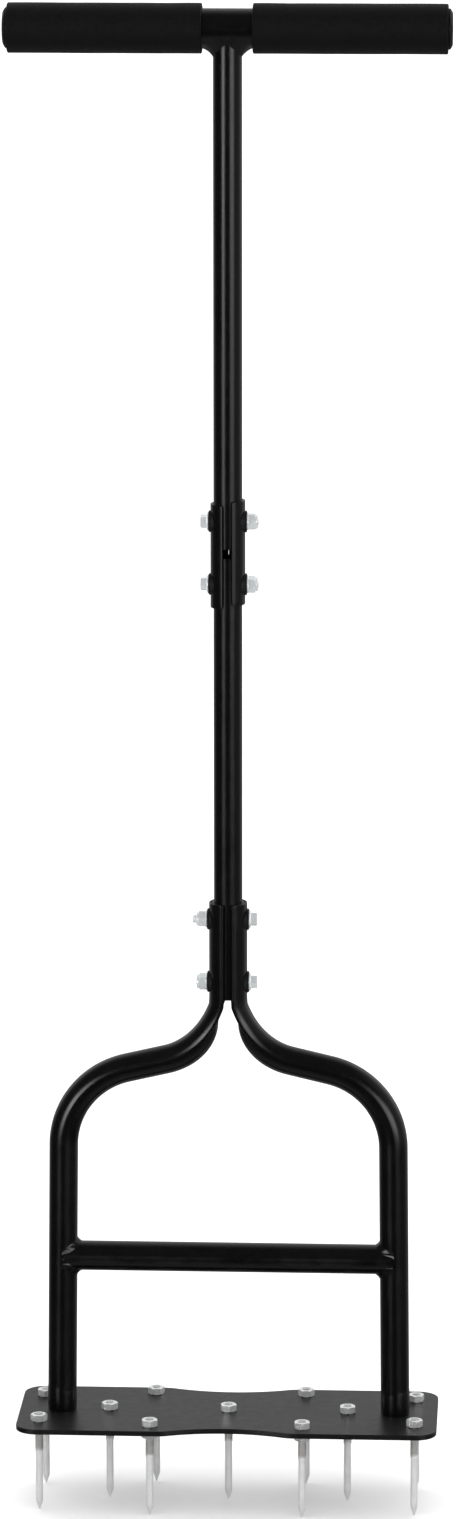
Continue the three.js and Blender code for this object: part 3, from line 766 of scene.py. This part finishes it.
def make_joint(name, tube_r, heads, turns):
    """Two bolts along X with their heads on the side of that sign"""
    for row, turn in zip(("upper", "lower"), turns):
        label = f"{name}_{row}"
        z = centre(f"{label}_bolt").z
        bolt_low, bolt_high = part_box(f"{label}_bolt")
        nut_low, nut_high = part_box(f"{label}_nut")
        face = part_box(f"{label}_washer_right")[1].x
        head_side, nut_side = across(z, heads), across(z, -heads)
        reach = -bolt_low.x if heads > 0 else bolt_high.x
        nut_top = nut_high.x if heads < 0 else -nut_low.x
        spin = Matrix.Rotation(turn, 4, "Z")
        counter = Matrix.Rotation(NUT_TURN * turn, 4, "Z")
        bolt = flange_bolt(face + HEAD_GAP, reach)
        piece(f"bolt_{label}", bolt, BOLT_ZINC, [f"{label}_bolt"], head_side @ spin)
        nut = lock_nut(face + HEAD_GAP, nut_top)
        piece(f"locknut_{label}", nut, BOLT_ZINC, [f"{label}_nut"], nut_side @ counter)
        piece(f"insert_{label}", nylon_ring(nut_top), NYLON, None, nut_side)
        washer = saddle_washer(tube_r, face, size(f"{label}_washer_right").z / 2)
        for side, sign in SIDES_LR:
            piece(f"washer_{label}_{side}", washer, PLASTIC,
                  [f"{label}_washer_{side}"], across(z, sign))


def make_joints():
    plate_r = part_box("splice_plate_right")[1].x
    make_joint("mid_joint", plate_r, -1, MID_BOLT_TURNS)
    make_joint("low_joint", CRESCENT_R, 1, LOW_BOLT_TURNS)


# ---- legs ----

RUN_DROP = math.tan(math.pi / 2 - RUN_ANGLE)
SHOULDER_X = LEG_FOOT_X - FOOT_SLOPE * (SHOULDER_Z - PLATE_TOP) - SHOULDER_BEND_R
NECK_X = NECK_OFFSET + NECK_BEND_R
NECK_Z = (SHOULDER_Z + SHOULDER_BEND_R / math.sin(RUN_ANGLE) + (SHOULDER_X - NECK_X) * RUN_DROP
          + NECK_BEND_R / math.sin(RUN_ANGLE))
CRESCENT_MIDDLE = (CRESCENT_R + SHAFT_R) / 2
CRESCENT_THICK = (CRESCENT_R - SHAFT_R) / 2 - 0.1 * MM


def leg_section(x, z, angle, crescent, thick=CRESCENT_THICK, trim=0.0):
    """The section at a point of the centre line: angle says which way is away from the shaft,
    and crescent how far the section has changed from round (0) to crescent (1)"""
    arc_steps, edge_steps = 20, 8
    edge_share = math.radians(10)
    bend_end = CRESCENT_HALF_ANGLE - CRESCENT_THICK / CRESCENT_MIDDLE - trim / CRESCENT_MIDDLE
    samples = []
    for t in spread(-1, 1, arc_steps):
        samples.append((t * (math.pi / 2 - edge_share), t * bend_end, thick, 0.0))
    for t in spread(0, 1, edge_steps)[1:-1]:
        a = math.pi * t
        round_angle = math.pi / 2 + edge_share * (2 * t - 1)
        samples.append((round_angle, bend_end, thick * math.cos(a), thick * math.sin(a)))
    for t in spread(1, -1, arc_steps):
        samples.append((math.pi - t * (math.pi / 2 - edge_share), t * bend_end, -thick, 0.0))
    for t in spread(0, 1, edge_steps)[1:-1]:
        a = math.pi * t
        round_angle = 3 * math.pi / 2 + edge_share * (2 * t - 1)
        samples.append((round_angle, -bend_end, -thick * math.cos(a), -thick * math.sin(a)))
    ring = []
    for round_angle, bent, off, past in samples:
        r = CRESCENT_MIDDLE + off
        bent_n = r * math.cos(bent) - past * math.sin(bent) - NECK_OFFSET
        bent_b = r * math.sin(bent) + past * math.cos(bent)
        n = blend(LEG_R * math.cos(round_angle), bent_n, crescent)
        b = blend(LEG_R * math.sin(round_angle), bent_b, crescent)
        ring.append(Vector((x + n * math.cos(angle), b, z + n * math.sin(angle))))
    return ring


def leg_rings():
    rings = [leg_section(NECK_OFFSET, LEG_TOP - depth, 0, 1, thick, CRESCENT_CORNER + CRESCENT_THICK)
             for depth, thick in ((CRESCENT_SLOT_DEPTH, CRESCENT_SLOT), (0.3 * MM, CRESCENT_SLOT),
                                  (0.0, CRESCENT_SLOT + 0.2 * MM))]
    soft = 0.35 * MM
    for a in spread(0, math.pi / 2, 3):
        pulled = soft * (1 - math.sin(a))
        depth = soft * (1 - math.cos(a))
        trim = CRESCENT_CORNER * (1 - math.sqrt(max(0.0, 1 - (1 - depth / CRESCENT_CORNER) ** 2)))
        rings.append(leg_section(NECK_OFFSET, LEG_TOP - depth, 0, 1, CRESCENT_THICK - pulled, trim))
    for a in spread(math.acos(1 - soft / CRESCENT_CORNER), math.pi / 2, 5)[1:]:
        depth = CRESCENT_CORNER * (1 - math.cos(a))
        trim = CRESCENT_CORNER * (1 - math.sin(a))
        rings.append(leg_section(NECK_OFFSET, LEG_TOP - depth, 0, 1, CRESCENT_THICK, trim))
    rings.append(leg_section(NECK_OFFSET, NECK_Z, 0, 1))
    start = NECK_MORPH_START / NECK_BEND_R
    for angle in spread(start, RUN_ANGLE, 30):
        travelled = min((angle - start) * NECK_BEND_R / NECK_MORPH, 1)
        x = NECK_X - NECK_BEND_R * math.cos(angle)
        z = NECK_Z - NECK_BEND_R * math.sin(angle)
        rings.append(leg_section(x, z, angle, (1 - travelled) ** NECK_MORPH_POWER))
    for angle in spread(RUN_ANGLE, FOOT_SLOPE, 30):
        x = SHOULDER_X + SHOULDER_BEND_R * math.cos(angle)
        z = SHOULDER_Z + SHOULDER_BEND_R * math.sin(angle)
        rings.append(leg_section(x, z, angle, 0))
    x, z = SHOULDER_X + SHOULDER_BEND_R, SHOULDER_Z
    rings.append(leg_section(x + (z - PLATE_TOP) * FOOT_SLOPE, PLATE_TOP, 0, 0))
    return rings


def make_legs():
    body = skin(leg_rings())
    bolts = [across(centre(f"low_joint_{row}_bolt").z) for row in ("upper", "lower")]
    for side, sign in SIDES_LR:
        place = None if sign > 0 else HALF_TURN
        made = black(f"bent_leg_{side}", body, f"leg_{side}", place, sharp=50)
        drill(made, bolts, BOLT_HOLE_R, sharp=50)


def make_foot_welds():
    """A smooth collar of weld and coat, narrower again where it meets the plate"""
    def swell(over, up):
        def point(angle):
            wobble = noise.noise(Vector((math.cos(angle) * 1.5, math.sin(angle) * 1.5, up * 0.3)))
            return LEG_R + (over + wobble * FOOT_COLLAR_WOBBLE) * MM, PLATE_TOP + up * MM
        return point
    outside = [swell(over, up) for over, up in FOOT_COLLAR]
    inner, height = LEG_R - 0.5 * MM, FOOT_COLLAR[-1][1] * MM
    inside = [(inner, PLATE_TOP + height), (inner, PLATE_TOP)]
    rings = turned_rings(outside + inside, TUBE_SIDES)
    for side, sign in SIDES_LR:
        place = Matrix.Translation((sign * LEG_FOOT_X, 0, 0))
        if sign < 0:
            place = place @ HALF_TURN
        black(f"weld_foot_{side}", skin(rings, loop=True), f"foot_weld_{side}", place, sharp=60)


# ---- foot bar ----

def make_foot_bar():
    z = centre("foot_bar").z
    radius = size("foot_bar").z / 2
    leg_x = LEG_FOOT_X - FOOT_SLOPE * (z - PLATE_TOP)

    def coped(r, sign):
        def point(angle):
            y, up = r * math.sin(angle), -r * math.cos(angle)
            reach = math.sqrt(max(LEG_R ** 2 - y * y, 0.0)) - 0.2 * MM
            return r, sign * (leg_x - up * FOOT_SLOPE - reach)
        return point
    inner = radius - TUBE_WALL
    profile = [coped(radius, -1), coped(radius, 1), coped(inner, 1), coped(inner, -1)]
    place = Matrix.Translation((0, 0, z)) @ ALONG_X
    black("crossbar_foot", skin(turned_rings(profile, TUBE_SIDES), loop=True), "foot_bar", place)
    reaches, drops = (3.2 * MM, 0.9 * MM), (3.2 * MM, 1.4 * MM)
    for side, sign in SIDES_LR:
        rings = weld_rings(radius, LEG_R, reaches, drops, ripples=16, lumpiness=0.12, seed=3.0 + sign)
        place = Matrix.Translation((leg_x, 0, z)) @ ALONG_X
        if sign < 0:
            place = HALF_TURN @ place
        black(f"weld_foot_bar_{side}", skin(rings, loop=True), f"foot_bar_weld_{side}", place)


# ---- base plate ----

def arc(x, y, radius, start, end, steps):
    return [(x + radius * math.cos(a), y + radius * math.sin(a)) for a in spread(start, end, steps)]


def plate_outline():
    """Counter-clockwise; the waists are arcs with their centres outside the plate"""
    half_width, half_depth = PLATE_HIGH.x, PLATE_HIGH.y
    waist_y = half_depth - WAIST_DEPTH + WAIST_R
    blend_y = half_depth - WAIST_BLEND_R
    blend_x = math.sqrt((WAIST_R + WAIST_BLEND_R) ** 2 - (waist_y - blend_y) ** 2)
    swing = math.atan2(blend_x, waist_y - blend_y)
    quarter = math.pi / 2
    cx, cy = half_width - PLATE_CORNER_R, half_depth - PLATE_CORNER_R
    front = arc(-blend_x, -blend_y, WAIST_BLEND_R, -quarter, -quarter + swing, 10)
    front += arc(0, -waist_y, WAIST_R, quarter + swing, quarter - swing, 40)[1:]
    front += arc(blend_x, -blend_y, WAIST_BLEND_R, -quarter - swing, -quarter, 10)[1:]
    front += arc(cx, -cy, PLATE_CORNER_R, -quarter, 0, 16)
    front += arc(cx, cy, PLATE_CORNER_R, 0, quarter, 16)
    rear = [(-x, -y) for x, y in front]
    return front + rear


def inset_loop(loop, amount):
    """The closed outline moved to its left by amount at each point"""
    moved = []
    for i, (x, y) in enumerate(loop):
        before, after = loop[i - 1], loop[(i + 1) % len(loop)]
        first = Vector((x - before[0], y - before[1])).normalized()
        second = Vector((after[0] - x, after[1] - y)).normalized()
        along = (first + second).normalized()
        moved.append((x - along.y * amount, y + along.x * amount))
    return moved


def plate_body(loops, low, high, edge):
    """A flat plate between closed outlines, with softened edges. Holes run clockwise."""
    flat = 0.6 * MM
    quarter = [(edge * (1 - math.sin(a)), edge * (1 - math.cos(a))) for a in spread(0, math.pi / 2, 4)]
    levels = [(edge + flat, high)] + [(inset, high - down) for inset, down in quarter]
    levels += [(inset, low + up) for inset, up in reversed(quarter)] + [(edge + flat, low)]
    points, faces, tops, bottoms = [], [], [], []
    for loop in loops:
        start, count = len(points), len(loop)
        for inset, z in levels:
            points += [Vector((x, y, z)) for x, y in inset_loop(loop, inset)]
        for level in range(len(levels) - 1):
            a, b = start + level * count, start + (level + 1) * count
            faces += [(a + j, b + j, b + (j + 1) % count, a + (j + 1) % count) for j in range(count)]
        tops.append(list(range(start, start + count)))
        bottoms.append(list(range(start + (len(levels) - 1) * count, start + len(levels) * count)))
    for sets, flip in ((tops, False), (bottoms, True)):
        order = [i for indices in sets for i in indices]
        for triangle in tessellate_polygon([[points[i] for i in indices] for indices in sets]):
            a, b, c = (order[i] for i in triangle)
            up = (points[b] - points[a]).cross(points[c] - points[a]).z > 0
            faces.append((a, b, c) if up != flip else (a, c, b))
    return points, faces


def spike_labels():
    labels = [f"{end}_{place}_{side}" for end in ("front", "rear") for place in ("outer", "inner")
              for side, _ in SIDES_LR]
    return labels + ["middle_left", "middle", "middle_right"]


def make_plate():
    loops = [plate_outline()]
    for label in spike_labels():
        at = centre(f"spike_{label}")
        loops.append(arc(at.x, at.y, SPIKE_HOLE_R, 2 * math.pi, 0, SPIKE_SIDES)[:-1])
    body = plate_body(loops, PLATE_LOW.z, PLATE_TOP, PLATE_EDGE)
    piece("plate", body, PLATE_POWDER, ["base_plate"], sharp=60)


# ---- spikes ----

def spike_body(top):
    point_r, blunt = 0.05 * MM, 0.7 * MM
    tip = [(point_r, 0.0), (SPIKE_TIP_R * 0.7, 0.1 * MM), (SPIKE_TIP_R * 1.1, blunt)]
    cone = [(blend(SPIKE_TIP_R, SPIKE_R, t), blend(blunt, SPIKE_TIP_LENGTH, t))
            for t in (0.35, 0.7, 0.95)]
    shank = [(SPIKE_R, SPIKE_TIP_LENGTH + 0.5 * MM), (SPIKE_R, SPIKE_THREAD_START - 0.8 * MM)]
    thread = threaded(SPIKE_THREAD_R, SPIKE_THREAD_START, top - 0.6 * MM, BOLT_PITCH, THREAD_DEPTH)
    end = [(SPIKE_THREAD_R - 0.7 * MM, top), (point_r, top)]
    return skin(turned_rings(tip + cone + shank + thread + end, SPIKE_SIDES))


def spike_nut(low, flats, height, bore):
    """A hexagon nut chamfered at both ends, with a countersunk bore"""
    high = low + height
    inner = filleted([
        (flats / 2 * 0.93, high, 0), (bore + 0.5 * MM, high, 0.1 * MM), (bore, high - 0.5 * MM, 0),
        (bore, low + 0.5 * MM, 0), (bore + 0.5 * MM, low, 0.1 * MM), (flats / 2 * 0.93, low, 0),
    ], closed=False)
    profile = [hex_edge(flats, low, up=-1), hex_edge(flats, high)] + inner
    return skin(turned_rings(profile, BOLT_SIDES), loop=True)


def make_spikes():
    for i, label in enumerate(spike_labels()):
        at = centre(f"spike_{label}")
        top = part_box(f"spike_{label}")[1].z
        here = Matrix.Translation((at.x, at.y, 0)) @ Matrix.Rotation(i * SPIKE_TURN, 4, "Z")
        piece(f"prong_{label}", spike_body(top), SPIKE_ZINC, [f"spike_{label}"], here)
        bore = SPIKE_THREAD_R - THREAD_DEPTH * 0.3
        upper = spike_nut(PLATE_TOP, SPIKE_NUT_FLATS, SPIKE_NUT_HEIGHT, bore)
        piece(f"hexnut_{label}", upper, NUT_ZINC, [f"nut_{label}"], here)
        lower = spike_nut(PLATE_LOW.z - SPIKE_NUT_HEIGHT, SPIKE_NUT_FLATS, SPIKE_NUT_HEIGHT, bore)
        turn = COLLAR_NUT_TURN + i * COLLAR_NUT_TURN_STEP
        turned = here @ Matrix.Rotation(turn, 4, "Z")
        piece(f"collar_nut_{label}", lower, NUT_ZINC, [f"spike_{label}"], turned)


# ---- camera, floor and light ----

def make_camera():
    camera = bpy.data.cameras.new("camera")
    camera.lens = 141.468
    camera.sensor_width = 36.0
    camera.clip_start, camera.clip_end = 0.1, 200.0
    stand = bpy.data.objects.new("camera", camera)
    bpy.context.scene.collection.objects.link(stand)
    yaw, down, roll = 0.05312, 0.20354, -0.0008
    place = Matrix.Translation((0.20636, -3.88179, 1.31742)) @ Matrix.Rotation(yaw, 4, "Z")
    level = Matrix.Rotation(math.pi / 2 - down, 4, "X")
    stand.matrix_world = place @ level @ Matrix.Rotation(roll, 4, "Z")
    bpy.context.scene.camera = stand


def make_floor():
    material, tree, shader, place = new_material("studio_floor")
    cloud = noise_at(tree, place, 3.0, detail=3.0)
    tree.links.new(mix_colour(tree, cloud, grey(0.90), grey(0.92)), shader.inputs["Base Color"])
    shader.inputs["Roughness"].default_value = 0.9
    shader.inputs["Specular IOR Level"].default_value = 0.1
    half = 40.0  # metres, so that its edge is never in view
    corners = [Vector((x * half, y * half, 0)) for x, y in ((-1, -1), (1, -1), (1, 1), (-1, 1))]
    mesh = bpy.data.meshes.new("floor")
    mesh.from_pydata(corners, [], [(0, 1, 2, 3)])
    mesh.materials.append(material)
    floor = bpy.data.objects.new("floor", mesh)
    bpy.context.scene.collection.objects.link(floor)
    floor.visible_glossy = False


def make_world():
    """A white studio. Reflections see a darker room instead: two low strips in front, faint ones
    at the sides and behind, open shade behind, and a dim glow from below."""
    world = bpy.data.worlds.new("studio")
    bpy.context.scene.world = world
    world.use_nodes = True
    tree = world.node_tree
    tree.nodes.clear()
    direction = add_node(tree, "TexCoord").outputs["Generated"]
    parts = add_node(tree, "SeparateXYZ", {0: direction}).outputs
    ahead = combine(tree, "MULTIPLY", parts[1], -1.0)
    turn = combine(tree, "ARCTAN2", parts[0], ahead)
    height = add_node(tree, "Math", {0: parts[2]}, operation="ARCSINE").outputs[0]

    def angles(*degrees):
        return [math.radians(d) for d in degrees]

    def panel(azimuth, half, soft, low, high, strength):
        """A soft-edged panel round an azimuth, where 0 is the front and 90 is the right"""
        off = combine(tree, "SUBTRACT", turn, math.radians(azimuth))
        off = add_node(tree, "Math", {0: off, 1: math.pi, 2: -math.pi}, operation="WRAP").outputs[0]
        off = add_node(tree, "Math", {0: off}, operation="ABSOLUTE").outputs[0]
        wide = ramp(tree, off, *angles(half, half + soft), strength, 0.0)
        up = ramp(tree, height, *angles(*low))
        down = ramp(tree, height, *angles(*high), 1.0, 0.0)
        return combine(tree, "MULTIPLY", wide, combine(tree, "MULTIPLY", up, down))

    behind = ramp(tree, ahead, 0.10, -0.85, 0.0, 0.60)
    raised = ramp(tree, height, *angles(-6, 14), 0.22, 1.0)
    total = combine(tree, "ADD", combine(tree, "MULTIPLY", behind, raised), 0.02)
    below = ramp(tree, height, *angles(-24, -60), 0.0, 0.22)
    total = combine(tree, "ADD", total, below)
    # azimuth, half width, soft edge, lower edge and upper edge in degrees, then strength
    panels = (
        (-32, 6, 7, (-8.5, -5.5), (4, 16), 6.4),
        (38, 9, 13, (-8.5, -5.5), (4, 16), 3.6),
        (95, 25, 20, (-20, -5), (35, 60), 0.22),
        (-140, 12, 12, (-25, -10), (35, 60), 0.25),
        (140, 12, 12, (-25, -10), (35, 60), 0.25),
    )
    for settings in panels:
        total = combine(tree, "ADD", total, panel(*settings))

    seen = add_node(tree, "Background", {"Color": grey(1.0), "Strength": 1.0}).outputs[0]
    ambient = add_node(tree, "Background", {"Color": grey(1.0), "Strength": 1.55}).outputs[0]
    room = add_node(tree, "Background", {"Color": grey(1.0), "Strength": total}).outputs[0]
    path = add_node(tree, "LightPath").outputs
    mixed = add_node(tree, "MixShader", {0: path["Is Glossy Ray"], 1: ambient, 2: room}).outputs[0]
    mixed = add_node(tree, "MixShader", {0: path["Is Camera Ray"], 1: mixed, 2: seen}).outputs[0]
    add_node(tree, "OutputWorld", {"Surface": mixed})
    bpy.context.scene.view_settings.view_transform = "Standard"


make_camera()
make_world()
make_floor()
make_handle()
make_handle_weld()
make_shafts()
make_splices()
make_joints()
make_legs()
make_foot_welds()
make_foot_bar()
make_plate()
make_spikes()
